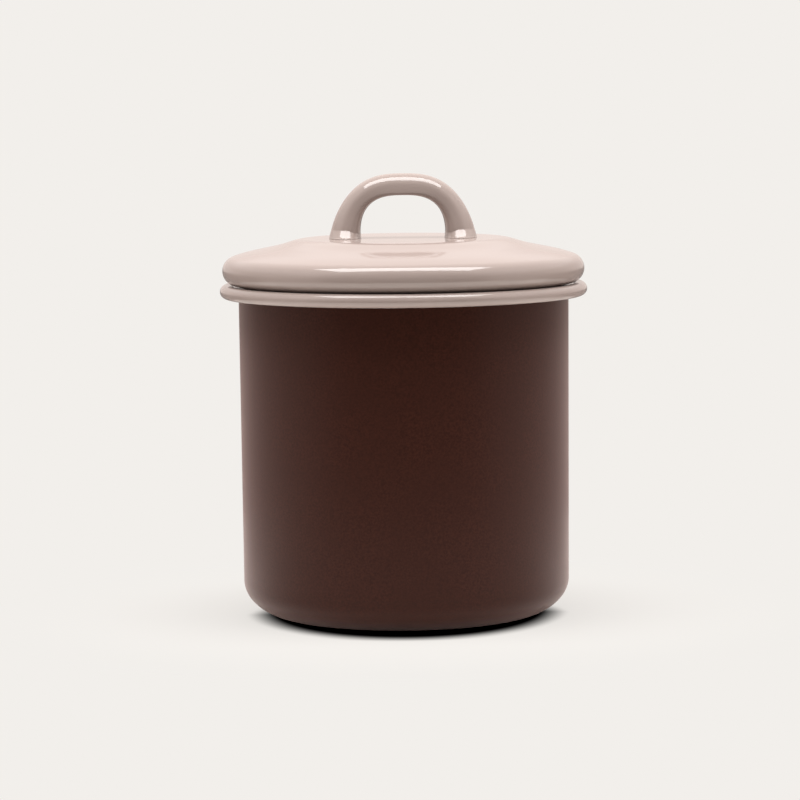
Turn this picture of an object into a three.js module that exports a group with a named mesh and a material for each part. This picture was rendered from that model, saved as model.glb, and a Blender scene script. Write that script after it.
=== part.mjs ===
// Round enamelled jar with a lift-off domed lid and a bow handle. Millimetres, +Z up.
// The origin is the middle of the standing ring, on the surface that the jar stands on.
// The jar's round pieces share one axis, Z, and the handle's bow lies in the XZ plane.
import * as THREE from "three";

// Jar body
const wallTopRadius = 70;
const wallTaper = 0.7;
const wallSheet = 0.8;
const liningGap = 0.05;
const liningCoat = 0.3;
const heelRun = 22;
const heelRise = 15.8;
const standRingWidth = 5.3;
const baseRise = 1.2;
const baseRampRun = 4;

// Rolled rim
const rimTopHeight = 141.75;
const rimRollHeight = 5.7;
const rimOverhang = 7.9;
const rimSlit = 0.3;
const rimOverlap = 0.5;
const rimSheet = wallSheet + liningGap + liningCoat;

// Lid
const lidInset = 1.15;
const lidSheet = 1;
const lidEdgeRound = 6.2;
const lidShoulderRound = 68;
const lidValleyRound = 74;
const lidFlareRun = 2.3;
const lidBrowRound = 20;
const lidConeRun = 7.13;
const lidRestGap = 0.2;
const lidLipAngle = THREE.MathUtils.degToRad(65.73);
const lidShoulderSlope = THREE.MathUtils.degToRad(19);
const lidConeSlope = THREE.MathUtils.degToRad(11.5);
const lidFlareSlope = THREE.MathUtils.degToRad(17.4);

// Locating collar under the lid
const skirtClearance = 1;
const skirtSheet = 0.9;
const skirtDrop = 12;
const skirtFlangeWidth = 8;
const skirtWeldGap = 0.3;

// Bow handle
const bowPlateauMargin = 10.2;
const bowFootWidth = 13;
const bowRise = 27.35;
const bowBarHeight = 9.2;
const bowDepthShare = 1.35;
const bowLeanShare = 0.18;
const bowUndersideShare = 0.27;
const bowFlankShare = 0.78;
const bowOuterSideShare = 2.78;
const bowOuterCrownShare = 1.457;
const bowInnerSideShare = 2.71;
const bowInnerCrownShare = 2.8;
const bowInnerLagShare = 1.585;

// Fillet of weld and glaze round each foot of the handle
const weldReach = 2.8;
const weldRise = 3.2;
const weldSideShare = 0.15;
const weldHollowShare = 1.6;
const weldEdge = 0.3;
const weldGap = 0.3;

// Facets
const turns = 56;
const heelSteps = 7;
const rollSteps = 14;
const browSteps = 4;
const valleySteps = 3;
const shoulderSteps = 3;
const edgeSteps = 9;
const bowSteps = 32;
const bowSides = 20;
const weldTurns = 20;
const weldSteps = 5;

// Places that several pieces share
const wallFootRadius = wallTopRadius - wallTaper;
const mouthRadius = wallTopRadius - rimSheet;
const rimOuterRadius = wallTopRadius + rimOverhang;
const rollRound = rimRollHeight / 2;
const rollCentre = new THREE.Vector2(rimOuterRadius - rollRound, rimTopHeight - rollRound);
const rollReach = rollCentre.x - mouthRadius;
const rimLip = Math.acos((wallTopRadius + rimSlit - rollCentre.x) / rollReach);
const wallTopHeight = rollCentre.y - rollRound * Math.sin(rimLip) + rimOverlap;
const lidEdgeCentre = new THREE.Vector2(
  rimOuterRadius - lidInset - lidEdgeRound,
  rimTopHeight + lidRestGap + lidEdgeRound * Math.sin(lidLipAngle),
);
const lidPlateauEdge = lidOutline(0)[1];
const bowOuterHalfWidth = lidPlateauEdge.x - bowPlateauMargin;
const bowInnerHalfWidth = bowOuterHalfWidth - bowFootWidth;
const bowInnerRise = bowRise - bowBarHeight;

// Points of an ellipse arc about centre, between two angles counted from +r towards +z.
function arc(centre, halfWidth, halfHeight, from, to, steps) {
  const points = [];
  for (let i = 0; i <= steps; i++) {
    const angle = from + ((to - from) * i) / steps;
    const r = centre.x + halfWidth * Math.cos(angle);
    const z = centre.y + halfHeight * Math.sin(angle);
    points.push(new THREE.Vector2(r, z));
  }
  return points;
}

// A point that lies distance from start, straight along the normal of a surface that falls outward by slope.
function alongNormal(start, slope, distance) {
  return new THREE.Vector2(start.x + distance * Math.sin(slope), start.y + distance * Math.cos(slope));
}

// Turns a closed outline of (radius, height) points about the Z axis. The outline runs clockwise
// when radius is drawn to the right and height up.
function turned(outline) {
  const geometry = new THREE.LatheGeometry(outline.slice().reverse(), turns);
  return geometry.rotateX(Math.PI / 2);
}

// The cup's outline at a depth into its sheet: from the axis across the base, round the heel and up to
// the top of the wall.
function cupOutline(depth) {
  const standRadius = wallFootRadius - heelRun;
  const rampRadius = standRadius - standRingWidth;
  const heelCentre = new THREE.Vector2(standRadius, heelRise);
  const heel = arc(heelCentre, heelRun - depth, heelRise - depth, -Math.PI / 2, 0, heelSteps);
  return [
    new THREE.Vector2(0, baseRise + depth),
    new THREE.Vector2(rampRadius - baseRampRun, baseRise + depth),
    new THREE.Vector2(rampRadius, depth),
    ...heel,
    new THREE.Vector2(wallTopRadius - depth, wallTopHeight),
  ];
}

// A thin cup between two depths into the jar's sheet. It starts and ends on the axis.
function cupBetween(outerDepth, innerDepth) {
  return [...cupOutline(innerDepth), ...cupOutline(outerDepth).reverse()];
}

// The lid's outline at a depth under its upper face, from the axis outward to the lip of the turned-down
// edge: flat plateau, brow, flare, hollow valley, cone, shoulder and edge round, each tangent to the next.
function lidOutline(depth) {
  const edgeEnd = alongNormal(lidEdgeCentre, lidShoulderSlope, lidEdgeRound);
  const shoulderCentre = alongNormal(edgeEnd, lidShoulderSlope, -lidShoulderRound);
  const coneFoot = alongNormal(shoulderCentre, lidConeSlope, lidShoulderRound);
  const coneRise = lidConeRun * Math.tan(lidConeSlope);
  const coneTop = new THREE.Vector2(coneFoot.x - lidConeRun, coneFoot.y + coneRise);
  const valleyCentre = alongNormal(coneTop, lidConeSlope, lidValleyRound);
  const flareFoot = alongNormal(valleyCentre, lidFlareSlope, -lidValleyRound);
  const flareRise = lidFlareRun * Math.tan(lidFlareSlope);
  const flareTop = new THREE.Vector2(flareFoot.x - lidFlareRun, flareFoot.y + flareRise);
  const browCentre = alongNormal(flareTop, lidFlareSlope, -lidBrowRound);
  const brow = roundOf(browCentre, lidBrowRound - depth, 0, lidFlareSlope, browSteps);
  const valley = roundOf(valleyCentre, -lidValleyRound - depth, lidFlareSlope, lidConeSlope, valleySteps);
  const shoulderRadius = lidShoulderRound - depth;
  const shoulder = roundOf(shoulderCentre, shoulderRadius, lidConeSlope, lidShoulderSlope, shoulderSteps);
  const lipSlope = Math.PI / 2 + lidLipAngle;
  const edge = roundOf(lidEdgeCentre, lidEdgeRound - depth, lidShoulderSlope, lipSlope, edgeSteps);
  const middle = new THREE.Vector2(0, brow[0].y);
  return [middle, ...brow, ...valley, ...shoulder, ...edge.slice(1)];
}

// Points of a round on a falling surface, from one slope to another. A negative radius is a hollow.
function roundOf(centre, radius, fromSlope, toSlope, steps) {
  return arc(centre, radius, radius, Math.PI / 2 - fromSlope, Math.PI / 2 - toSlope, steps);
}

// The height of an outline, read from the axis outward, at a radius.
function heightAt(outline, radius) {
  const after = outline.findIndex((point) => point.x > radius);
  const low = outline[after - 1];
  const high = outline[after];
  const share = (radius - low.x) / (high.x - low.x);
  return low.y + (high.y - low.y) * share;
}

// Drawn steel cup with its dark outer coat.
function jarShell() {
  return turned(cupBetween(0, wallSheet));
}

// Thin glossy coat on the inside of the cup.
function jarLining() {
  return turned(cupBetween(wallSheet + liningGap, rimSheet));
}

// The roll's outline at a depth into its sheet, from the mouth over the top and round to its lip: half a
// circle on the outside and half an ellipse towards the mouth.
function rollOutline(depth) {
  const points = [];
  for (let i = 0; i <= rollSteps; i++) {
    const angle = Math.PI - ((Math.PI + rimLip) * i) / rollSteps;
    const reach = Math.cos(angle) > 0 ? rollRound : rollReach;
    const r = rollCentre.x + (reach - depth) * Math.cos(angle);
    const z = rollCentre.y + (rollRound - depth) * Math.sin(angle);
    points.push(new THREE.Vector2(r, z));
  }
  return points;
}

// Rim rolled outward: a collar on the wall's top edge that turns over into a hollow roll. Its lip stops
// short of the wall, so the roll stays open underneath.
function rimBead() {
  const outline = [
    new THREE.Vector2(mouthRadius, wallTopHeight),
    ...rollOutline(0),
    ...rollOutline(rimSheet).reverse(),
    new THREE.Vector2(wallTopRadius, wallTopHeight),
  ];
  return turned([...outline, outline[0]]);
}

// Pressed lid with its edge turned down and in, until its lip meets the rim.
function lidShell() {
  return turned([...lidOutline(0), ...lidOutline(lidSheet).reverse()]);
}

// Collar that drops into the mouth, with a flange welded under the lid's cone.
function lidSkirt() {
  const under = lidOutline(lidSheet);
  const outerRadius = mouthRadius - skirtClearance;
  const innerRadius = outerRadius - skirtSheet;
  const flangeRadius = outerRadius - skirtFlangeWidth;
  const bottom = rimTopHeight - skirtDrop;
  const cornerHeight = heightAt(under, outerRadius) - skirtWeldGap;
  const flangeHeight = heightAt(under, flangeRadius) - skirtWeldGap;
  const outline = [
    new THREE.Vector2(innerRadius, bottom),
    new THREE.Vector2(innerRadius, cornerHeight - skirtSheet),
    new THREE.Vector2(flangeRadius, flangeHeight - skirtSheet),
    new THREE.Vector2(flangeRadius, flangeHeight),
    new THREE.Vector2(outerRadius, cornerHeight),
    new THREE.Vector2(outerRadius, bottom),
  ];
  return turned([...outline, outline[0]]);
}

// Half-width and height above the plateau of a bow outline at an angle: 0 at the foot, a quarter turn
// at the crown. The two shares are the powers that make its sides and its crown full or slack.
function bowPoint(halfWidth, rise, sideShare, crownShare, angle) {
  const x = halfWidth * Math.pow(Math.max(Math.cos(angle), 0), 2 / sideShare);
  const z = rise * Math.pow(Math.sin(angle), 2 / crownShare);
  return new THREE.Vector2(x, z);
}

// One cross-section of the bow's right half: the middle, and half of its thickness as a vector that
// points outward. The inner outline turns later than the outer one, which keeps the section square to the bow.
function bowSection(angle) {
  const quarter = Math.PI / 2;
  const innerAngle = quarter * Math.pow(angle / quarter, bowInnerLagShare);
  const outer = bowPoint(bowOuterHalfWidth, bowRise, bowOuterSideShare, bowOuterCrownShare, angle);
  const inner = bowPoint(bowInnerHalfWidth, bowInnerRise, bowInnerSideShare, bowInnerCrownShare, innerAngle);
  const middle = outer.clone().add(inner).multiplyScalar(1 / 2);
  const half = outer.clone().sub(inner).multiplyScalar(1 / 2);
  return { middle, half };
}

// A place on the bar's section, in half-thicknesses outward and to the back, for a point of the unit
// circle. The section is rounded outside, and deeper and squarer on the bow's inner side.
function sectionSpot(cosine, sine) {
  const outward = cosine < 0 ? -Math.pow(-cosine, bowUndersideShare) : cosine;
  const flank = Math.sign(sine) * Math.pow(Math.abs(sine), bowFlankShare);
  return { outward, across: bowDepthShare * (1 - bowLeanShare * outward) * flank };
}

// Moves every vertex of a geometry to the place that a function gives for it.
function reshaped(geometry, place) {
  const position = geometry.attributes.position;
  const vertex = new THREE.Vector3();
  for (let i = 0; i < position.count; i++) {
    vertex.fromBufferAttribute(position, i);
    const moved = place(vertex);
    position.setXYZ(i, moved.x, moved.y, moved.z);
  }
  geometry.deleteAttribute("normal");
  geometry.deleteAttribute("uv");
  geometry.computeVertexNormals();
  return geometry;
}

// Bow handle: a unit cylinder bent from the left foot over the crown to the right foot. Its feet are flat
// and stand on the plateau. The cylinder starts and ends on its outer side.
function lidHandle() {
  const bar = new THREE.CylinderGeometry(1, 1, 1, bowSides, bowSteps, false, Math.PI / 2);
  return reshaped(bar, (vertex) => {
    const side = vertex.y < 0 ? -1 : 1;
    const section = bowSection((Math.PI / 2) * (1 - 2 * Math.abs(vertex.y)));
    const spot = sectionSpot(vertex.x, vertex.z);
    const x = side * (section.middle.x + section.half.x * spot.outward);
    const z = section.middle.y + section.half.y * spot.outward;
    const y = section.half.length() * spot.across;
    return new THREE.Vector3(x, y, lidPlateauEdge.y + z);
  });
}

// Middle and half-thickness of the bow's leg at a height above the plateau.
function legAt(height) {
  const outerShare = 1 - Math.pow(height / bowRise, bowOuterCrownShare);
  const innerShare = 1 - Math.pow(height / bowInnerRise, bowInnerCrownShare);
  const outer = bowOuterHalfWidth * Math.pow(outerShare, 1 / bowOuterSideShare);
  const inner = bowInnerHalfWidth * Math.pow(innerShare, 1 / bowInnerSideShare);
  return { middle: (outer + inner) / 2, half: (outer - inner) / 2 };
}

// Hollow fillet round one foot, wide at the front and the back and narrow at the sides. side is -1 for the
// left foot and 1 for the right one. It is turned about a round pin first, and the pin is then stretched to
// the leg's section.
function handleWeld(side) {
  const pinRadius = bowFootWidth / 2;
  const ring = new THREE.LatheGeometry(weldOutline(pinRadius), weldTurns, Math.PI / 2);
  return reshaped(ring, (vertex) => {
    const pin = Math.hypot(vertex.x, vertex.z);
    const away = pin - pinRadius;
    const leg = legAt(vertex.y);
    const spot = sectionSpot(vertex.x / pin, vertex.z / pin);
    const spread = weldGap + (away - weldGap) * weldSideShare;
    const x = leg.middle + leg.half * spot.outward + (spread * vertex.x) / pin;
    const y = leg.half * spot.across + (away * vertex.z) / pin;
    return new THREE.Vector3(side * x, -side * y, lidPlateauEdge.y + vertex.y);
  });
}

// The fillet's closed outline round a pin: down the gap beside it, outward on the plateau and back up the
// hollow face.
function weldOutline(pinRadius) {
  const start = pinRadius + weldGap;
  const hollow = [];
  for (let i = 0; i <= weldSteps; i++) {
    const angle = ((Math.PI / 2) * i) / weldSteps;
    const fall = 1 - Math.pow(Math.sin(angle), weldHollowShare);
    const spread = 1 - Math.pow(Math.max(Math.cos(angle), 0), weldHollowShare);
    const r = start + weldEdge + (weldReach - weldGap - weldEdge) * spread;
    hollow.push(new THREE.Vector2(r, weldEdge + (weldRise - weldEdge) * fall));
  }
  const foot = new THREE.Vector2(start, 0);
  const toe = new THREE.Vector2(pinRadius + weldReach, 0);
  return [foot, toe, ...hollow.reverse(), new THREE.Vector2(start, weldRise), foot];
}

// Matte dark brown coat of the jar's outside.
function matteBrown() {
  return new THREE.MeshStandardMaterial({ color: 0x33201a, roughness: 0.6, metalness: 0 });
}

// Glossy pinkish beige glaze of the rim, the lining, the lid and its handle.
function glossBeige() {
  return new THREE.MeshStandardMaterial({ color: 0xcbb4aa, roughness: 0.12, metalness: 0 });
}

function piece(name, geometry, material) {
  const mesh = new THREE.Mesh(geometry, material);
  mesh.name = name;
  return mesh;
}

function jarGroup() {
  const group = new THREE.Group();
  group.add(piece("jar_shell", jarShell(), matteBrown()));
  group.add(piece("rim_bead", rimBead(), glossBeige()));
  group.add(piece("jar_lining", jarLining(), glossBeige()));
  return group;
}

function lidGroup() {
  const group = new THREE.Group();
  group.add(piece("lid_shell", lidShell(), glossBeige()));
  group.add(piece("lid_skirt", lidSkirt(), glossBeige()));
  group.add(piece("lid_handle", lidHandle(), glossBeige()));
  group.add(piece("handle_weld_left", handleWeld(-1), glossBeige()));
  group.add(piece("handle_weld_right", handleWeld(1), glossBeige()));
  return group;
}

const enamelJar = new THREE.Group();
enamelJar.add(jarGroup());
enamelJar.add(lidGroup());

export default enamelJar;
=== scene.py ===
"""Round enamelled jar with a lift-off lid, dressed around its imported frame.

Everything is in metres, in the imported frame: +Z is up, the jar stands on z = 0 and the side of it
that the photograph shows looks towards -Y.
"""

import logging
import math
from collections.abc import Sequence
from dataclasses import dataclass, field
from enum import Enum

import bmesh
import bpy
from mathutils import Matrix, Vector


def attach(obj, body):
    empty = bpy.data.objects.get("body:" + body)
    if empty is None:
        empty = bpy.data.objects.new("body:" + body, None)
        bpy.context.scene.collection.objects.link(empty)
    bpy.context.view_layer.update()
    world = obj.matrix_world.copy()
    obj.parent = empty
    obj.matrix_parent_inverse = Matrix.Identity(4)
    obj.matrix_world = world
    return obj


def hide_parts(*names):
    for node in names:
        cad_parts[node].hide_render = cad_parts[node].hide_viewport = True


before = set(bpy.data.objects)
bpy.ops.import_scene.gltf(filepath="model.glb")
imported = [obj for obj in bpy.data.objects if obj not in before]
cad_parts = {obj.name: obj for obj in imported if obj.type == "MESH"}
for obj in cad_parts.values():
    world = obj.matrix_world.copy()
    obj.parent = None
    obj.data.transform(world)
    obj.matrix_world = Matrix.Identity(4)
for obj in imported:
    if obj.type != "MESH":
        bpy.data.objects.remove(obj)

Colour = tuple[float, float, float]
Rgba = tuple[float, float, float, float]
Place = tuple[float, float, float]
Outline = list[Vector]

QUARTER = math.pi / 2
BLACK: Rgba = (0.0, 0.0, 0.0, 1.0)

# Steps of the half round at a sheet's cut end.
END_STEPS = 8

# Numbers of the sockets by which a Mix node mixes colours.
MIX_FACTOR, MIX_FIRST, MIX_SECOND, MIX_RESULT = 0, 6, 7, 2

log = logging.getLogger("enamel_jar")


class Body(Enum):
    """The moving bodies that the pieces ride on."""

    JAR = "jar"
    LID = "lid"


class Slot(Enum):
    """The record's material slots."""

    MATTE_BROWN = "matte_brown_enamel"
    GLOSS_BEIGE = "gloss_beige_enamel"
    LINING = "lining_enamel"


class Side(Enum):
    """The two ends of the bow handle, as the sign of their X."""

    LEFT = -1
    RIGHT = 1


class Wire:
    """A shader socket on which sums are written as Python expressions."""

    def __init__(self, graph: "Graph", socket: bpy.types.NodeSocket | None) -> None:
        """Wraps one output socket of a graph's node, or none where the node has no output."""
        self.graph = graph
        self.socket = socket

    def __add__(self, other: "Number") -> "Wire":
        """Adds a number or another wire."""
        return self.graph.maths("ADD", self, other)

    def __radd__(self, other: "Number") -> "Wire":
        """Adds this wire to a number."""
        return self.graph.maths("ADD", other, self)

    def __sub__(self, other: "Number") -> "Wire":
        """Takes a number or another wire away."""
        return self.graph.maths("SUBTRACT", self, other)

    def __rsub__(self, other: "Number") -> "Wire":
        """Takes this wire away from a number."""
        return self.graph.maths("SUBTRACT", other, self)

    def __mul__(self, other: "Number") -> "Wire":
        """Multiplies by a number or another wire."""
        return self.graph.maths("MULTIPLY", self, other)

    def __rmul__(self, other: "Number") -> "Wire":
        """Multiplies a number by this wire."""
        return self.graph.maths("MULTIPLY", other, self)


Number = Wire | float
Setting = Wire | float | Sequence[float]


class Graph:
    """The node tree of one material or world, emptied and filled again."""

    def __init__(self, tree: bpy.types.NodeTree) -> None:
        """Empties the tree."""
        self.tree = tree
        tree.nodes.clear()

    def node(
        self,
        kind: str,
        settings: dict[str, str] | None = None,
        sockets: dict[int | str, Setting] | None = None,
        output: int | str = 0,
    ) -> Wire:
        """Adds one node.

        Args:
            kind: Blender's type name of the node.
            settings: Properties of the node, such as its operation, set before its sockets.
            sockets: Values or wires for its input sockets, by name or number.
            output: Name or number of the output socket that is wanted.

        Returns:
            The wire that leaves the node at that output.
        """
        made = self.tree.nodes.new(kind)
        for name, value in (settings or {}).items():
            setattr(made, name, value)
        for name, value in (sockets or {}).items():
            if isinstance(value, Wire):
                self.tree.links.new(value.socket, made.inputs[name])
            else:
                made.inputs[name].default_value = value
        return Wire(self, made.outputs[output] if made.outputs else None)

    def maths(self, operation: str, first: Number, second: Number) -> Wire:
        """Adds a Math node.

        Args:
            operation: Its operation.
            first: First value or wire.
            second: Second value or wire.

        Returns:
            The result.
        """
        return self.node("ShaderNodeMath", {"operation": operation}, {0: first, 1: second})

    def vectors(self, operation: str, first: Setting, second: Setting) -> Wire:
        """Adds a Vector Math node.

        Args:
            operation: Its operation.
            first: First vector or wire.
            second: Second vector or wire.

        Returns:
            The resulting vector.
        """
        return self.node("ShaderNodeVectorMath", {"operation": operation}, {0: first, 1: second})

    def length(self, vector: Wire) -> Wire:
        """Measures a vector."""
        return self.node("ShaderNodeVectorMath", {"operation": "LENGTH"}, {0: vector}, output="Value")

    def part(self, vector: Wire, axis: str) -> Wire:
        """Takes a vector's X, Y or Z."""
        return self.node("ShaderNodeSeparateXYZ", {}, {0: vector}, output=axis)

    def colours(self, factor: Number, first: Setting, second: Setting) -> Wire:
        """Mixes two colours.

        Args:
            factor: Share of the second colour.
            first: First colour or wire.
            second: Second colour or wire.

        Returns:
            The mixed colour.
        """
        sockets = {MIX_FACTOR: factor, MIX_FIRST: first, MIX_SECOND: second}
        return self.node("ShaderNodeMix", {"data_type": "RGBA"}, sockets, output=MIX_RESULT)

    def noise(self, place: Wire, grain: float, detail: float, spread: float = 0.5) -> Wire:
        """Adds soft noise of a given grain size.

        Args:
            place: Coordinates in metres.
            grain: Size of one blot, in metres.
            detail: Octaves of finer noise.
            spread: Strength of each finer octave.

        Returns:
            Values round a half.
        """
        sockets = {"Vector": place, "Scale": 1.0 / grain, "Detail": detail, "Roughness": spread}
        return self.node("ShaderNodeTexNoise", {}, sockets)

    def ease(self, value: Wire, start: float, end: float) -> Wire:
        """Turns a value into a smooth step.

        Args:
            value: The value.
            start: Where the step begins, at 0.
            end: Where it ends, at 1.

        Returns:
            The step.
        """
        settings = {"interpolation_type": "SMOOTHSTEP"}
        sockets = {"Value": value, "From Min": start, "From Max": end}
        return self.node("ShaderNodeMapRange", settings, sockets)

    def place(self) -> Wire:
        """Reads the place on the piece, in metres."""
        return self.node("ShaderNodeTexCoord", output="Object")

    def camera_ray(self) -> Wire:
        """Tells what the camera sees itself, at 1, from all that is mirrored or lit, at 0."""
        return self.node("ShaderNodeLightPath", output="Is Camera Ray")

    def bump(self, height: Wire) -> Wire:
        """Bends the normal by heights in metres."""
        return self.node("ShaderNodeBump", {}, {"Height": height, "Distance": 1.0})

    def surface(self, shader: Wire) -> None:
        """Ends a material in its surface."""
        self.node("ShaderNodeOutputMaterial", {}, {"Surface": shader})


def rgba(colour: Colour) -> Rgba:
    """Adds the alpha that Blender's colour sockets want."""
    return (*colour, 1.0)


def scaled(colour: Colour, share: float) -> Colour:
    """Makes a colour lighter or darker by one share."""
    return tuple(share * channel for channel in colour)


def emptied_material(name: str) -> tuple[bpy.types.Material, Graph]:
    """Makes a material without nodes.

    Args:
        name: Its name.

    Returns:
        The material, and the graph that fills it.
    """
    made = bpy.data.materials.new(name)
    made.use_nodes = True
    return made, Graph(made.node_tree)


@dataclass(frozen=True)
class GlossEnamel:
    """Glossy vitreous enamel: an even colour, a hard shine and the faint waves of a fired glaze."""

    name: str
    colour: Colour
    roughness: float = 0.045
    ior: float = 1.55
    tone_change: float = 0.035
    tone_size: float = 0.03
    tone_detail: float = 3.0
    fleck_change: float = 0.05
    fleck_size: float = 0.0008
    smear_size: float = 0.012
    smear_detail: float = 4.0
    smear_spread: float = 0.6
    smear_least: float = 0.7
    smear_gain: float = 0.6
    wave_size: float = 0.012
    wave_height: float = 0.000004
    peel_size: float = 0.0022
    peel_height: float = 0.0000005
    plain_detail: float = 1.0

    def material(self) -> bpy.types.Material:
        """Makes the material.

        Returns:
            The new material.
        """
        made, graph = emptied_material(self.name)
        place = graph.place()
        tone = graph.noise(place, self.tone_size, self.tone_detail)
        fleck = graph.noise(place, self.fleck_size, self.plain_detail)
        share = tone * (1.0 - self.fleck_change) + fleck * self.fleck_change
        dark = rgba(scaled(self.colour, 1.0 - self.tone_change))
        light = rgba(scaled(self.colour, 1.0 + self.tone_change))
        smear = graph.noise(place, self.smear_size, self.smear_detail, self.smear_spread)
        wave = graph.noise(place, self.wave_size, self.plain_detail)
        peel = graph.noise(place, self.peel_size, self.plain_detail)
        sockets = {
            "Base Color": graph.colours(share, dark, light),
            "Roughness": self.roughness * (self.smear_least + self.smear_gain * smear),
            "IOR": self.ior,
            "Normal": graph.bump(wave * self.wave_height + peel * self.peel_height),
        }
        graph.surface(graph.node("ShaderNodeBsdfPrincipled", {}, sockets))
        return made


@dataclass(frozen=True)
class MatteEnamel:
    """Matte vitreous enamel: a dark colour with a very fine grain, and a soft bloom seen aslant."""

    name: str
    colour: Colour
    bloom: Colour
    bloom_weight: float = 0.5
    bloom_roughness: float = 0.45
    roughness: float = 0.3
    roughness_least: float = 0.9
    roughness_gain: float = 0.2
    ior: float = 1.168
    tone_change: float = 0.10
    tone_size: float = 0.02
    tone_detail: float = 3.0
    tone_start: float = 0.3
    tone_end: float = 0.7
    tone_share: float = 0.5
    grain_change: float = 0.30
    grain_size: float = 0.0009
    grain_detail: float = 2.0
    grain_spread: float = 0.6
    grain_start: float = 0.25
    grain_end: float = 0.75
    grain_height: float = 0.00001

    def material(self) -> bpy.types.Material:
        """Makes the material.

        Returns:
            The new material.
        """
        made, graph = emptied_material(self.name)
        place = graph.place()
        grain = graph.noise(place, self.grain_size, self.grain_detail, self.grain_spread)
        tone = graph.noise(place, self.tone_size, self.tone_detail)
        grained = graph.colours(
            graph.ease(grain, self.grain_start, self.grain_end),
            rgba(scaled(self.colour, 1.0 - self.grain_change)),
            rgba(scaled(self.colour, 1.0 + self.grain_change)),
        )
        toned = rgba(scaled(self.colour, 1.0 - self.tone_change))
        toned_share = graph.ease(tone, self.tone_start, self.tone_end) * self.tone_share
        sockets = {
            "Base Color": graph.colours(toned_share, grained, toned),
            "Roughness": self.roughness * (self.roughness_least + self.roughness_gain * tone),
            "IOR": self.ior,
            "Sheen Weight": self.bloom_weight,
            "Sheen Roughness": self.bloom_roughness,
            "Sheen Tint": rgba(self.bloom),
            "Normal": graph.bump(grain * self.grain_height),
        }
        graph.surface(graph.node("ShaderNodeBsdfPrincipled", {}, sockets))
        return made


@dataclass(frozen=True)
class FloorFinish:
    """The studio floor: plain backdrop to the camera with a painted contact shadow, and pale ground to
    all that the jar mirrors.
    """

    backdrop: Colour
    seen_albedo: float = 0.55
    near_albedo: float = 0.9
    far_albedo: float = 0.42
    far_start: float = 0.0
    far_end: float = 0.14
    # Where the painted shade under the jar fades out, in the light that the floor throws.
    painted_shade_start: float = 0.045
    painted_shade_end: float = 0.062
    glow: float = 0.12
    glow_start: float = 0.08
    glow_end: float = 0.16
    # The contact shadow is painted: an oval of black under the jar, cut short at the back by a circle.
    painted_shadow_middle: Place = (0.0005, 0.015, 0.0)
    painted_shadow_shape: Place = (1.0, 1.39, 1.0)
    painted_shadow_front: Place = (0.0005, -0.01, 0.0)
    painted_shadow_start: float = 0.0575
    painted_shadow_end: float = 0.0706
    shadow_full: float = 0.056
    shadow_far: float = 0.18
    shadow_share: float = 0.3

    def material(self) -> bpy.types.Material:
        """Makes the material.

        Returns:
            A floor that the camera sees in the backdrop's colour, with a painted black shadow where the
            jar stands and a share of the real cast shadow round it. To the jar it is glowing diffuse
            ground, painted black as shade under the jar.
        """
        made, graph = emptied_material("studio_floor")
        place = graph.place()
        reach = graph.length(place)
        seen = graph.camera_ray()
        # clear is 0 where the contact shadow is painted black on the floor, and 1 beyond it.
        clear = self.free_of_painted_shadow(graph, place)
        seen_colour = graph.colours(clear, BLACK, self.toned(self.seen_albedo))
        paint = graph.colours(seen, self.bounced_colour(graph, place), seen_colour)
        diffuse = graph.node("ShaderNodeBsdfDiffuse", {}, {"Color": paint})
        # The glow is left out near the jar, as painted shade in the light that the floor throws.
        glow_share = (1.0 - seen) * graph.ease(reach, self.glow_start, self.glow_end) * self.glow
        glow_colour = graph.colours(glow_share, BLACK, rgba(self.backdrop))
        glow = graph.node("ShaderNodeEmission", {}, {"Color": glow_colour})
        lit = graph.node("ShaderNodeAddShader", {}, {0: diffuse, 1: glow})
        # The camera sees the backdrop with the contact shadow painted on it in black.
        shade = graph.colours(clear, BLACK, rgba(self.backdrop))
        shown = graph.node("ShaderNodeEmission", {}, {"Color": shade})
        shadow = (1.0 - graph.ease(reach, self.shadow_full, self.shadow_far)) * self.shadow_share
        sockets = {0: seen * (1.0 - shadow), 1: lit, 2: shown}
        graph.surface(graph.node("ShaderNodeMixShader", {}, sockets))
        return made

    def toned(self, albedo: float) -> Rgba:
        """Gives the backdrop's hue another lightness, as its red share."""
        return rgba(scaled(self.backdrop, albedo / self.backdrop[0]))

    def free_of_painted_shadow(self, graph: Graph, place: Wire) -> Wire:
        """Finds where the floor is free of the painted contact shadow, an oval whose back a circle cuts
        short.

        Args:
            graph: The material's graph.
            place: The place on the floor.

        Returns:
            0 in the painted shadow, 1 beyond it.
        """
        middle = graph.vectors("SUBTRACT", place, self.painted_shadow_middle)
        oval = graph.length(graph.vectors("DIVIDE", middle, self.painted_shadow_shape))
        front = graph.length(graph.vectors("SUBTRACT", place, self.painted_shadow_front))
        return graph.ease(graph.maths("MAXIMUM", oval, front), self.painted_shadow_start, self.painted_shadow_end)

    def bounced_colour(self, graph: Graph, place: Wire) -> Wire:
        """Colours the floor for the light that it throws on the jar: black under the jar as painted
        shade, and dim behind.

        Args:
            graph: The material's graph.
            place: The place on the floor.

        Returns:
            The colour.
        """
        far = graph.ease(graph.part(place, "Y"), self.far_start, self.far_end)
        ground = graph.colours(far, self.toned(self.near_albedo), self.toned(self.far_albedo))
        # Black under the jar is painted shade, so that the floor there throws no light on the heel.
        beyond_painted_shade = graph.ease(graph.length(place), self.painted_shade_start, self.painted_shade_end)
        return graph.colours(beyond_painted_shade, BLACK, ground)


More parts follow.
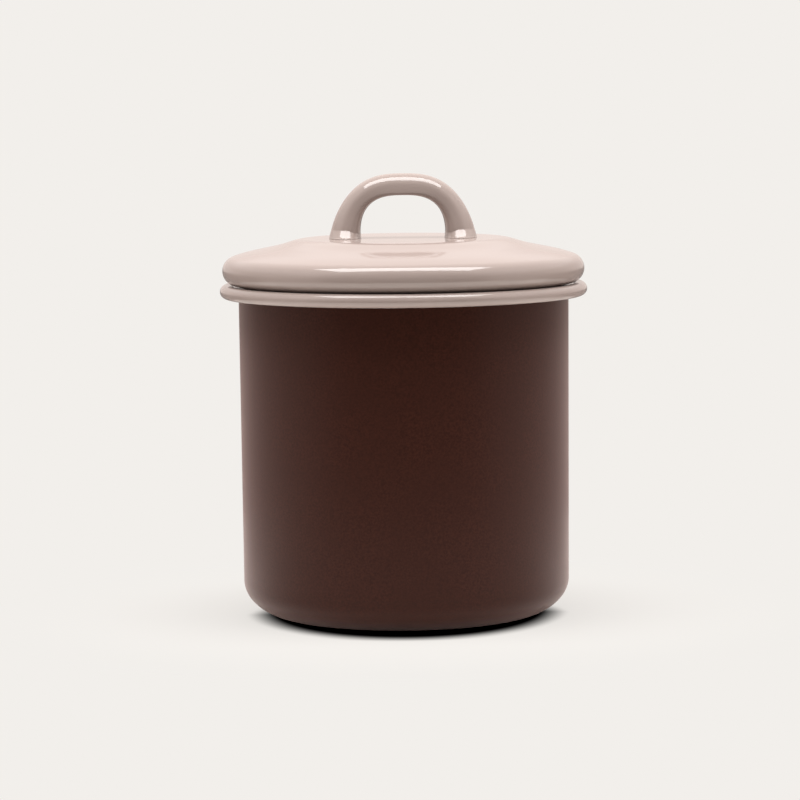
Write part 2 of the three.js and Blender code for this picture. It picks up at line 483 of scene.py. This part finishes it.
def arc(centre: Vector, half: tuple[float, float], start: float, end: float, steps: int) -> Outline:
    """Samples an ellipse arc in the plane of radius and height.

    Args:
        centre: Middle of the ellipse.
        half: Its half-width and half-height.
        start: Angle of the first point, from +radius towards +height.
        end: Angle of the last point.
        steps: Number of equal steps.

    Returns:
        The points in order, with both ends.
    """
    angles = [start + (end - start) * i / steps for i in range(steps + 1)]
    return [centre + Vector((half[0] * math.cos(a), half[1] * math.sin(a))) for a in angles]


def along_normal(start: Vector, slope: float, distance: float) -> Vector:
    """Goes from a point straight along the normal of a surface that falls outward.

    Args:
        start: The point, as radius and height.
        slope: How steeply the surface falls, as an angle.
        distance: How far to go.

    Returns:
        The new point.
    """
    return start + distance * Vector((math.sin(slope), math.cos(slope)))


def round_of(
    centre: Vector, radius: float, start_slope: float, end_slope: float, steps: int
) -> Outline:
    """Samples a round on a surface that falls outward.

    Args:
        centre: Middle of the round.
        radius: Its radius, negative for a hollow.
        start_slope: Slope at its first point.
        end_slope: Slope at its last point.
        steps: Number of equal steps.

    Returns:
        The points in order, with both ends.
    """
    return arc(centre, (radius, radius), QUARTER - start_slope, QUARTER - end_slope, steps)


def rounded_end(first: Vector, last: Vector) -> Outline:
    """Joins the two faces of a sheet's cut end by a half round.

    Args:
        first: Corner on the first face. The round bulges to the left of the way from it to the last.
        last: Corner on the other face.

    Returns:
        The points between the two corners, without them.
    """
    middle = (first + last) / 2
    spoke = first - middle
    bulge = Vector((-spoke.y, spoke.x))
    turns = [math.pi * i / END_STEPS for i in range(1, END_STEPS)]
    return [middle + math.cos(t) * spoke - math.sin(t) * bulge for t in turns]


@dataclass
class Turning:
    """Turns closed outlines of radius and height about the Z axis."""

    turns: int = 192
    axis_reach: float = 1e-6
    crease: float = math.radians(32)

    def piece(self, name: str, outline: Sequence[Vector]) -> bpy.types.Object:
        """Turns one outline.

        Args:
            name: Name of the piece.
            outline: Its points. They start and end on the axis, or else close on themselves.

        Returns:
            The new object.
        """
        shape = bmesh.new()
        rings = [self._ring(shape, point) for point in outline]
        pairs = list(zip(rings, rings[1:]))
        if len(rings[0]) > 1:
            pairs.append((rings[-1], rings[0]))
        for low, high in pairs:
            for i in range(self.turns):
                corners = (low[i % len(low)], low[(i + 1) % len(low)])
                others = (high[(i + 1) % len(high)], high[i % len(high)])
                shape.faces.new(list(dict.fromkeys(corners + others)))
        return finished(shape, name, self.crease)

    def _ring(self, shape: bmesh.types.BMesh, point: Vector) -> list[bmesh.types.BMVert]:
        """Makes one ring of corners.

        Args:
            shape: The shape that gets them.
            point: Radius and height of the ring.

        Returns:
            The corners, or a single one where the ring lies on the axis.
        """
        if point.x < self.axis_reach:
            return [shape.verts.new((0.0, 0.0, point.y))]
        angles = [2 * math.pi * i / self.turns for i in range(self.turns)]
        spots = [(point.x * math.cos(a), point.x * math.sin(a), point.y) for a in angles]
        return [shape.verts.new(spot) for spot in spots]


def finished(shape: bmesh.types.BMesh, name: str, crease: float) -> bpy.types.Object:
    """Turns a closed shape's faces outward and puts it into the scene.

    Args:
        shape: The shape, which is freed.
        name: Name of the object and of its mesh.
        crease: Angle between faces above which their edge stays sharp.

    Returns:
        The new object.
    """
    bmesh.ops.recalc_face_normals(shape, faces=shape.faces)
    mesh = bpy.data.meshes.new(name)
    shape.to_mesh(mesh)
    shape.free()
    mesh.shade_smooth()
    mesh.set_sharp_from_angle(angle=crease)
    made = bpy.data.objects.new(name, mesh)
    bpy.context.scene.collection.objects.link(made)
    return made


def skinned(
    name: str, rings: Sequence[Sequence[Vector]], closed: bool, crease: float
) -> bpy.types.Object:
    """Joins rings of equal length by a skin.

    Args:
        name: Name of the piece.
        rings: The rings, each a list of points in order.
        closed: Whether the last ring joins the first one. Otherwise both ends get a flat cap.
        crease: Angle between faces above which their edge stays sharp.

    Returns:
        The new object.
    """
    shape = bmesh.new()
    loops = [[shape.verts.new(point) for point in ring] for ring in rings]
    pairs = list(zip(loops, loops[1:]))
    if closed:
        pairs.append((loops[-1], loops[0]))
    else:
        shape.faces.new(loops[0])
        shape.faces.new(loops[-1])
    count = len(loops[0])
    for low, high in pairs:
        for i in range(count):
            shape.faces.new((low[i], low[(i + 1) % count], high[(i + 1) % count], high[i]))
    return finished(shape, name, crease)


@dataclass
class Dresser:
    """Gives a new piece the finish of its slot and its body, and hides the CAD nodes that it stands
    for.
    """

    materials: dict[Slot, bpy.types.Material]

    def dress(self, piece: bpy.types.Object, body: Body, slot: Slot, *nodes: str) -> None:
        """Dresses one piece.

        Args:
            piece: The new object.
            body: The body that it moves with.
            slot: The record's slot that its finish belongs to.
            nodes: The CAD nodes that it stands for.
        """
        piece.data.materials.append(self.materials[slot])
        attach(piece, body.value)
        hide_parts(*nodes)
        log.info("%s: %d faces on body %s", piece.name, len(piece.data.polygons), body.value)


@dataclass
class JarBody:
    """The cup with its brown coat, its rolled rim and its lining."""

    dresser: Dresser
    turning: Turning
    top_radius: float = 0.07
    taper: float = 0.0007
    sheet: float = 0.0008
    lining_gap: float = 0.00005
    lining_coat: float = 0.0003
    heel_run: float = 0.022
    heel_rise: float = 0.0158
    stand_ring_width: float = 0.0053
    base_rise: float = 0.0012
    base_ramp_run: float = 0.004
    rim_top: float = 0.14175
    roll_height: float = 0.0057
    overhang: float = 0.0079
    slit: float = 0.0003
    overlap: float = 0.0005
    heel_steps: int = 28
    ramp_steps: int = 8
    roll_steps: int = 64
    rim_sheet: float = field(init=False)
    mouth_radius: float = field(init=False)
    roll_round: float = field(init=False)
    roll_centre: Vector = field(init=False)
    roll_reach: float = field(init=False)
    lip_angle: float = field(init=False)
    wall_top: float = field(init=False)

    def __post_init__(self) -> None:
        """Works out the rim's roll from the sizes."""
        self.rim_sheet = self.sheet + self.lining_gap + self.lining_coat
        self.mouth_radius = self.top_radius - self.rim_sheet
        self.roll_round = self.roll_height / 2
        self.roll_centre = Vector(
            (self.top_radius + self.overhang - self.roll_round, self.rim_top - self.roll_round)
        )
        self.roll_reach = self.roll_centre.x - self.mouth_radius
        lip_reach = self.top_radius + self.slit - self.roll_centre.x
        self.lip_angle = math.acos(lip_reach / self.roll_reach)
        lip_height = self.roll_centre.y - self.roll_round * math.sin(self.lip_angle)
        self.wall_top = lip_height + self.overlap

    def build(self) -> None:
        """Builds and dresses the three pieces."""
        coat = self.turning.piece("jar_shell_coat", self.cup_between(0.0, self.sheet))
        self.dresser.dress(coat, Body.JAR, Slot.MATTE_BROWN, "jar_shell")
        lining = self.cup_between(self.sheet + self.lining_gap, self.rim_sheet)
        glaze = self.turning.piece("jar_lining_glaze", lining)
        self.dresser.dress(glaze, Body.JAR, Slot.LINING, "jar_lining")
        bead = self.turning.piece("rim_bead_glaze", self.bead_outline())
        self.dresser.dress(bead, Body.JAR, Slot.GLOSS_BEIGE, "rim_bead")

    def cup_outline(self, depth: float) -> Outline:
        """Follows the cup at a depth into its sheet.

        Args:
            depth: Depth under the outer face.

        Returns:
            The points from the axis across the base, round the heel and up to the top of the wall.
        """
        stand_radius = self.top_radius - self.taper - self.heel_run
        ramp_radius = stand_radius - self.stand_ring_width
        heel_centre = Vector((stand_radius, self.heel_rise))
        half = (self.heel_run - depth, self.heel_rise - depth)
        return [
            Vector((0.0, self.base_rise + depth)),
            *self.ramp(ramp_radius, depth),
            *arc(heel_centre, half, -QUARTER, 0.0, self.heel_steps),
            Vector((self.top_radius - depth, self.wall_top)),
        ]

    def ramp(self, radius: float, depth: float) -> Outline:
        """Eases the raised middle of the base down to the standing ring.

        Args:
            radius: Radius at which the ring begins.
            depth: Depth under the outer face.

        Returns:
            The points from the raised middle outward.
        """
        points = []
        for i in range(self.ramp_steps + 1):
            share = i / self.ramp_steps
            fall = (1 + math.cos(math.pi * share)) / 2
            reach = radius - self.base_ramp_run * (1 - share)
            points.append(Vector((reach, self.base_rise * fall + depth)))
        return points

    def cup_between(self, outer_depth: float, inner_depth: float) -> Outline:
        """Makes the outline of a thin cup between two depths into the sheet, from axis to axis."""
        return [*self.cup_outline(inner_depth), *reversed(self.cup_outline(outer_depth))]

    def roll_outline(self, depth: float, lip: float) -> Outline:
        """Follows the roll at a depth into its sheet, from the mouth over the top and round to its lip.

        Args:
            depth: Depth under the outer face.
            lip: Angle below the horizontal at which it ends.

        Returns:
            The points: half a circle on the outside, and half an ellipse towards the mouth.
        """
        points = []
        for i in range(self.roll_steps + 1):
            turn = math.pi - (math.pi + lip) * i / self.roll_steps
            reach = self.roll_round if math.cos(turn) > 0 else self.roll_reach
            across = (reach - depth) * math.cos(turn)
            rise = (self.roll_round - depth) * math.sin(turn)
            points.append(self.roll_centre + Vector((across, rise)))
        return points

    def bead_outline(self) -> Outline:
        """Rolls the rim outward round a hollow, down to a rounded lip beside the wall.

        Returns:
            The closed outline.
        """
        middle = self.roll_reach - self.rim_sheet / 2
        lip = self.lip_angle - self.rim_sheet / 2 / middle
        outer = self.roll_outline(0.0, lip)
        inner = list(reversed(self.roll_outline(self.rim_sheet, lip)))
        return [
            Vector((self.mouth_radius, self.wall_top)),
            *outer,
            *rounded_end(outer[-1], inner[0]),
            *inner,
            Vector((self.top_radius, self.wall_top)),
        ]


@dataclass
class BowHandle:
    """The bow on the lid, and the fillets of weld and glaze round its feet."""

    dresser: Dresser
    plateau: float
    half_width: float
    foot_width: float = 0.013
    rise: float = 0.02735
    bar_height: float = 0.0092
    depth_share: float = 1.35
    lean_share: float = 0.18
    underside_share: float = 0.13
    flank_share: float = 0.78
    oval_share: float = 0.7
    outer_side_share: float = 2.78
    outer_crown_share: float = 1.457
    inner_side_share: float = 2.71
    inner_crown_share: float = 2.8
    inner_lag_share: float = 1.585
    fillet_reach: float = 0.0024
    fillet_rise: float = 0.0032
    fillet_toe: float = 0.0005
    fillet_side_share: float = 0.15
    fillet_hollow_share: float = 1.8
    fillet_tail: float = 0.0002
    fillet_sink: float = 0.00002
    fillet_depth: float = 0.0004
    steps: int = 72
    sides: int = 64
    fillet_turns: int = 96
    fillet_steps: int = 28
    crease: float = math.radians(40)
    inner_half_width: float = field(init=False)
    inner_rise: float = field(init=False)

    def __post_init__(self) -> None:
        """Works out the inner outline from the outer one."""
        self.inner_half_width = self.half_width - self.foot_width
        self.inner_rise = self.rise - self.bar_height

    def build(self) -> None:
        """Builds and dresses the bow and its two fillets."""
        bow = skinned("lid_handle_glaze", self.bow_rings(), closed=False, crease=self.crease)
        self.dresser.dress(bow, Body.LID, Slot.GLOSS_BEIGE, "lid_handle")
        for side in Side:
            end = side.name.lower()
            rings = self.fillet_rings(side)
            weld = skinned(f"handle_weld_{end}_glaze", rings, closed=True, crease=self.crease)
            self.dresser.dress(weld, Body.LID, Slot.GLOSS_BEIGE, f"handle_weld_{end}")

    @staticmethod
    def bow_point(
        width: float, rise: float, side_share: float, crown_share: float, turn: float
    ) -> Vector:
        """Finds a point of a bow's outline.

        Args:
            width: Half-width at its foot.
            rise: Height at its crown.
            side_share: Power that makes its side full or slack.
            crown_share: Power that makes its crown full or slack.
            turn: 0 at the foot, a quarter turn at the crown.

        Returns:
            Half-width and height above the plateau.
        """
        x = width * max(math.cos(turn), 0.0) ** (2 / side_share)
        z = rise * math.sin(turn) ** (2 / crown_share)
        return Vector((x, z))

    def section(self, turn: float) -> tuple[Vector, Vector]:
        """Finds one cross-section of the bow's right half.

        Args:
            turn: 0 at the foot, a quarter turn at the crown.

        Returns:
            Its middle, and half of its thickness as a vector that points outward.
        """
        late = QUARTER * (turn / QUARTER) ** self.inner_lag_share
        outer_shares = (self.outer_side_share, self.outer_crown_share)
        inner_shares = (self.inner_side_share, self.inner_crown_share)
        outer = self.bow_point(self.half_width, self.rise, *outer_shares, turn)
        inner = self.bow_point(self.inner_half_width, self.inner_rise, *inner_shares, late)
        return (outer + inner) / 2, (outer - inner) / 2

    def section_spot(self, turn: float, crown: float) -> Vector:
        """Finds a place on the bar's section, an oval at the feet and squarer underneath at the crown.

        Args:
            turn: Angle round the section, 0 where it faces outward.
            crown: 0 at a foot, 1 at the crown.

        Returns:
            How far outward the place lies and how far to the back, both in half-thicknesses.
        """
        outward, across = math.cos(turn), math.sin(turn)
        if outward < 0:
            outward = -(abs(outward) ** (1 + (self.underside_share - 1) * crown))
        flank = math.copysign(abs(across) ** (1 + (self.flank_share - 1) * crown), across)
        return Vector((outward, self.depth_share * (1 - self.lean_share * crown * outward) * flank))

    def bow_rings(self) -> list[list[Vector]]:
        """Lays the bow's rings from its left foot over the crown to its right foot.

        Returns:
            The rings, each one a section of the bar.
        """
        rings = []
        for i in range(-self.steps, self.steps + 1):
            side = -1 if i < 0 else 1
            climb = 1 - abs(i) / self.steps
            middle, half = self.section(QUARTER * climb)
            crown = climb**self.oval_share
            ring = []
            for j in range(self.sides):
                place = self.section_spot(2 * math.pi * j / self.sides, crown)
                spot = middle + half * place.x
                ring.append(Vector((side * spot.x, half.length * place.y, self.plateau + spot.y)))
            rings.append(ring)
        return rings

    def leg_at(self, height: float) -> tuple[float, float]:
        """Measures the bow's leg at a height.

        Args:
            height: Height above the plateau. Below it the leg is as at its foot.

        Returns:
            How far its middle lies from the bow's, and half of its thickness.
        """
        low = max(height, 0.0)
        outer_fall = 1 - (low / self.rise) ** self.outer_crown_share
        inner_fall = 1 - (low / self.inner_rise) ** self.inner_crown_share
        outer = self.half_width * outer_fall ** (1 / self.outer_side_share)
        inner = self.inner_half_width * inner_fall ** (1 / self.inner_side_share)
        return (outer + inner) / 2, (outer - inner) / 2

    def fillet_rings(self, side: Side) -> list[list[Vector]]:
        """Lays the rings of one foot's fillet, a hollow slope off the leg and a rounded toe on the lid.

        Args:
            side: Which foot.

        Returns:
            The rings, each one at a place of the fillet's outline.
        """
        edge = self.fillet_reach + self.fillet_toe
        slope: Outline = []
        toe: Outline = []
        for i in range(self.fillet_steps + 1):
            turn = QUARTER * i / self.fillet_steps
            away = 1 - max(math.cos(turn), 0.0) ** self.fillet_hollow_share
            climb = 1 - math.sin(turn) ** self.fillet_hollow_share
            height = self.fillet_toe + self.fillet_rise * climb
            slope.append(Vector((self.fillet_reach * away, height)))
            round_spot = self.fillet_toe * Vector((math.sin(turn), math.cos(turn)))
            toe.append(Vector((self.fillet_reach, 0.0)) + round_spot)
        top = self.fillet_toe + self.fillet_rise + self.fillet_tail
        outline = [
            Vector((-self.fillet_sink, top)),
            *slope,
            *toe[1:],
            Vector((edge, -self.fillet_depth)),
            Vector((-self.fillet_depth, -self.fillet_depth)),
            Vector((-self.fillet_depth, top)),
        ]
        return [self.fillet_ring(side, spot.x, spot.y) for spot in outline]

    def fillet_ring(self, side: Side, away: float, height: float) -> list[Vector]:
        """Lays one ring round a leg.

        Args:
            side: Which foot.
            away: Distance from the leg's surface.
            height: Height above the plateau.

        Returns:
            The points of the ring.
        """
        middle, half = self.leg_at(height)
        foot = 0.0
        ring = []
        for i in range(self.fillet_turns):
            turn = 2 * math.pi * i / self.fillet_turns
            place = self.section_spot(turn, foot)
            spread = away * self.fillet_side_share * math.cos(turn)
            x = side.value * (middle + half * place.x + spread)
            y = half * place.y + away * math.sin(turn)
            ring.append(Vector((x, y, self.plateau + height)))
        return ring


@dataclass
class JarLid:
    """The pressed lid with its locating collar and its bow handle."""

    dresser: Dresser
    turning: Turning
    jar: JarBody
    inset: float = 0.00115
    sheet: float = 0.001
    edge_round: float = 0.0062
    shoulder_round: float = 0.068
    valley_round: float = 0.074
    flare_run: float = 0.0023
    brow_round: float = 0.02
    cone_run: float = 0.00713
    rest_gap: float = 0.0002
    lip_angle: float = math.radians(65.73)
    shoulder_slope: float = math.radians(19)
    cone_slope: float = math.radians(11.5)
    flare_slope: float = math.radians(17.4)
    skirt_clearance: float = 0.001
    skirt_sheet: float = 0.0009
    skirt_drop: float = 0.012
    skirt_flange_width: float = 0.008
    skirt_weld_gap: float = 0.0003
    skirt_bend: float = 0.002
    bow_margin: float = 0.0102
    bend_steps: int = 8
    brow_steps: int = 12
    valley_steps: int = 12
    shoulder_steps: int = 14
    edge_steps: int = 48

    def build(self) -> None:
        """Builds and dresses the lid's pieces."""
        shell = self.turning.piece("lid_shell_glaze", self.shell_outline())
        self.dresser.dress(shell, Body.LID, Slot.GLOSS_BEIGE, "lid_shell")
        skirt = self.turning.piece("lid_skirt_glaze", self.skirt_outline())
        self.dresser.dress(skirt, Body.LID, Slot.GLOSS_BEIGE, "lid_skirt")
        _, plateau_edge, *_ = self.face_outline(0.0, self.lip_angle)
        BowHandle(self.dresser, plateau_edge.y, plateau_edge.x - self.bow_margin).build()

    def face_outline(self, depth: float, lip_angle: float) -> Outline:
        """Follows the lid at a depth under its upper face.

        Args:
            depth: Depth under the upper face.
            lip_angle: Angle below the horizontal at which the turned-down edge stops.

        Returns:
            The points from the axis over the flat plateau, brow, flare, hollow valley, cone, shoulder
            and edge round, each tangent to the next.
        """
        edge_centre = Vector(
            (
                self.jar.top_radius + self.jar.overhang - self.inset - self.edge_round,
                self.jar.rim_top + self.rest_gap + self.edge_round * math.sin(self.lip_angle),
            )
        )
        edge_end = along_normal(edge_centre, self.shoulder_slope, self.edge_round)
        shoulder_centre = along_normal(edge_end, self.shoulder_slope, -self.shoulder_round)
        cone_foot = along_normal(shoulder_centre, self.cone_slope, self.shoulder_round)
        cone_top = cone_foot + self.cone_run * Vector((-1.0, math.tan(self.cone_slope)))
        valley_centre = along_normal(cone_top, self.cone_slope, self.valley_round)
        flare_foot = along_normal(valley_centre, self.flare_slope, -self.valley_round)
        flare_top = flare_foot + self.flare_run * Vector((-1.0, math.tan(self.flare_slope)))
        brow_centre = along_normal(flare_top, self.flare_slope, -self.brow_round)
        brow = round_of(brow_centre, self.brow_round - depth, 0.0, self.flare_slope, self.brow_steps)
        hollow = -self.valley_round - depth
        valley = round_of(valley_centre, hollow, self.flare_slope, self.cone_slope, self.valley_steps)
        full = self.shoulder_round - depth
        slopes = (self.cone_slope, self.shoulder_slope)
        shoulder = round_of(shoulder_centre, full, *slopes, self.shoulder_steps)
        last_slope = QUARTER + lip_angle
        edge_radius = self.edge_round - depth
        edge = round_of(edge_centre, edge_radius, self.shoulder_slope, last_slope, self.edge_steps)
        return [Vector((0.0, brow[0].y)), *brow, *valley, *shoulder, *edge[1:]]

    def shell_outline(self) -> Outline:
        """Follows the whole pressing, whose rounded lip reaches as low as the pressing's outer face.

        Returns:
            The outline, from the axis over the top, round the lip and back underneath.
        """
        middle = self.edge_round - self.sheet / 2
        drop = self.edge_round * math.sin(self.lip_angle)
        lip = math.asin((drop - self.sheet / 2) / middle)
        upper = self.face_outline(0.0, lip)
        under = list(reversed(self.face_outline(self.sheet, lip)))
        return [*upper, *rounded_end(upper[-1], under[0]), *under]

    def under_height(self, radius: float) -> float:
        """Finds the height of the lid's underside.

        Args:
            radius: Radius at which it is wanted.

        Returns:
            The height.
        """
        under = self.face_outline(self.sheet, self.lip_angle)
        after = next(i for i, point in enumerate(under) if point.x > radius)
        low, high = under[after - 1], under[after]
        return low.y + (high.y - low.y) * (radius - low.x) / (high.x - low.x)

    def skirt_outline(self) -> Outline:
        """Follows the locating collar, bent in to a flange under the lid and rounded at its hem.

        Returns:
            The closed outline.
        """
        outer = self.jar.mouth_radius - self.skirt_clearance
        inner = outer - self.skirt_sheet
        flange = outer - self.skirt_flange_width
        bottom = self.jar.rim_top - self.skirt_drop
        hem = bottom + self.skirt_sheet / 2
        corner = self.under_height(outer) - self.skirt_weld_gap
        flange_top = self.under_height(flange) - self.skirt_weld_gap
        lift = (flange_top - corner) / (outer - flange)
        bend_lift = self.skirt_bend * lift
        bend_centre = Vector((outer - self.skirt_bend, corner - self.skirt_bend))
        outer_half = (self.skirt_bend, self.skirt_bend + bend_lift)
        inner_bend = self.skirt_bend - self.skirt_sheet
        inner_half = (inner_bend, inner_bend + bend_lift)
        bend = arc(bend_centre, outer_half, 0.0, QUARTER, self.bend_steps)
        under_bend = arc(bend_centre, inner_half, QUARTER, 0.0, self.bend_steps)
        return [
            Vector((outer, hem)),
            *bend,
            Vector((flange, flange_top)),
            Vector((flange, flange_top - self.skirt_sheet)),
            *under_bend,
            Vector((inner, hem)),
            *rounded_end(Vector((inner, hem)), Vector((outer, hem))),
        ]


@dataclass(frozen=True)
class Surroundings:
    """What the jar mirrors: pale walls behind and beside it, a bright panel above, a dim room in front.

    Starts and ends are parts of a ray's direction, from -1 to 1, towards the back or upward.
    """

    backdrop: Colour
    front_light: Colour = (0.15, 0.145, 0.14)
    ground_light: Colour = (0.3, 0.265, 0.25)
    wall_light: Colour = (0.88, 0.77, 0.72)
    ceiling_light: Colour = (1.05, 0.975, 0.935)
    panel_light: Colour = (1.16, 1.08, 1.035)
    wall_start: float = -0.78
    wall_end: float = -0.35
    ground_near: float = -0.2
    ground_far: float = 0.6
    ground_end: float = -0.06
    ground_start: float = 0.0
    panel_start: float = 0.2
    panel_full: float = 0.42
    panel_fade: float = 0.72
    panel_end: float = 0.92

    def build(self) -> None:
        """Makes the world, which shows the camera the plain backdrop."""
        world = bpy.data.worlds.new("studio")
        world.use_nodes = True
        bpy.context.scene.world = world
        graph = Graph(world.node_tree)
        ray = graph.node("ShaderNodeTexCoord", output="Generated")
        back = graph.part(ray, "Y")
        upward = graph.part(ray, "Z")
        wall = rgba(self.wall_light)
        far = graph.ease(back, self.ground_near, self.ground_far)
        ground = graph.colours(far, wall, rgba(self.ground_light))
        low = graph.colours(graph.ease(upward, self.ground_end, self.ground_start), ground, wall)
        panel = graph.ease(upward, self.panel_start, self.panel_full)
        mid = graph.colours(panel, low, rgba(self.panel_light))
        ceiling = graph.ease(upward, self.panel_fade, self.panel_end)
        bright = graph.colours(ceiling, mid, rgba(self.ceiling_light))
        beyond = graph.ease(back, self.wall_start, self.wall_end)
        room = graph.colours(beyond, rgba(self.front_light), bright)
        shown = graph.colours(graph.camera_ray(), room, rgba(self.backdrop))
        background = graph.node("ShaderNodeBackground", {}, {"Color": shown})
        graph.node("ShaderNodeOutputWorld", {}, {"Surface": background})


@dataclass(frozen=True)
class Studio:
    """The pale floor, the soft light and the camera."""

    backdrop: Colour = (0.8879, 0.8632, 0.8308)
    camera_place: Place = (-0.00199, -1.711, 0.2492)
    camera_pitch: float = 0.09178
    camera_roll: float = -0.0108
    camera_lens: float = 181.67
    camera_sensor: float = 36.0
    camera_far: float = 20.0
    softbox_height: float = 1.15
    softbox_width: float = 1.3
    softbox_back: float = 0.05
    softbox_front: float = -0.48
    softbox_radiance: float = 7.8
    strip_front: float = -0.07
    strip_radiance: float = 4.5
    floor_radius: float = 0.36
    floor_turns: int = 96

    def build(self) -> None:
        """Builds the camera, the two lamps, the surroundings and the floor."""
        self.add_camera()
        self.add_softbox("softbox", self.softbox_front, self.softbox_radiance)
        self.add_softbox("softbox_strip", self.strip_front, self.strip_radiance)
        Surroundings(self.backdrop).build()
        self.add_floor()
        bpy.context.scene.view_settings.view_transform = "Standard"

    def add_camera(self) -> None:
        """Places the camera where the photograph was taken from."""
        data = bpy.data.cameras.new("photo_camera")
        data.lens = self.camera_lens
        data.sensor_width = self.camera_sensor
        data.clip_end = self.camera_far
        camera = bpy.data.objects.new("photo_camera", data)
        pitch = Matrix.Rotation(QUARTER - self.camera_pitch, 4, "X")
        roll = Matrix.Rotation(self.camera_roll, 4, "Z")
        camera.matrix_world = Matrix.Translation(self.camera_place) @ pitch @ roll
        bpy.context.scene.collection.objects.link(camera)
        bpy.context.scene.camera = camera

    def add_softbox(self, name: str, front: float, radiance: float) -> None:
        """Hangs one area of light over the jar.

        Args:
            name: Name of the lamp.
            front: Where its front edge is. All lamps share their back edge.
            radiance: How bright its face is, where 1 is white.
        """
        width, depth = self.softbox_width, self.softbox_back - front
        data = bpy.data.lights.new(name, "AREA")
        data.shape = "RECTANGLE"
        data.size = width
        data.size_y = depth
        data.energy = radiance * math.pi * width * depth
        lamp = bpy.data.objects.new(name, data)
        lamp.location = (0.0, (self.softbox_back + front) / 2, self.softbox_height)
        lamp.visible_camera = False
        bpy.context.scene.collection.objects.link(lamp)

    def add_floor(self) -> None:
        """Lays a round floor that shows a share of the jar's cast shadow and a painted contact shadow,
        and fades into the backdrop.
        """
        shape = bmesh.new()
        sizes = {"segments": self.floor_turns, "radius": self.floor_radius}
        bmesh.ops.create_circle(shape, cap_ends=True, **sizes)
        mesh = bpy.data.meshes.new("floor")
        shape.to_mesh(mesh)
        shape.free()
        floor = bpy.data.objects.new("floor", mesh)
        bpy.context.scene.collection.objects.link(floor)
        mesh.materials.append(FloorFinish(self.backdrop).material())


def finishes() -> dict[Slot, bpy.types.Material]:
    """Makes the finish of each slot.

    Returns:
        The materials. The lining is the lid's beige, fired a little duller.
    """
    brown, brown_bloom = (0.0322, 0.009, 0.0051), (0.625, 0.466, 0.44)
    beige = (0.341, 0.276, 0.251)
    lining_roughness = 0.1
    return {
        Slot.MATTE_BROWN: MatteEnamel("matte_brown", brown, brown_bloom).material(),
        Slot.GLOSS_BEIGE: GlossEnamel("gloss_beige", beige).material(),
        Slot.LINING: GlossEnamel("lining_beige", beige, lining_roughness).material(),
    }


def corners(box: tuple[Vector, Vector]) -> list[list[float]]:
    """Writes a box's two corners as plain lists."""
    return [list(corner) for corner in box]


def main() -> None:
    """Builds the studio and the jar."""
    logging.basicConfig(level=logging.INFO, format="%(name)s: %(message)s")
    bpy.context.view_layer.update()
    Studio().build()
    dresser = Dresser(finishes())
    turning = Turning()
    jar = JarBody(dresser, turning)
    jar.build()
    JarLid(dresser, turning, jar).build()


if __name__ == "__main__":
    main()
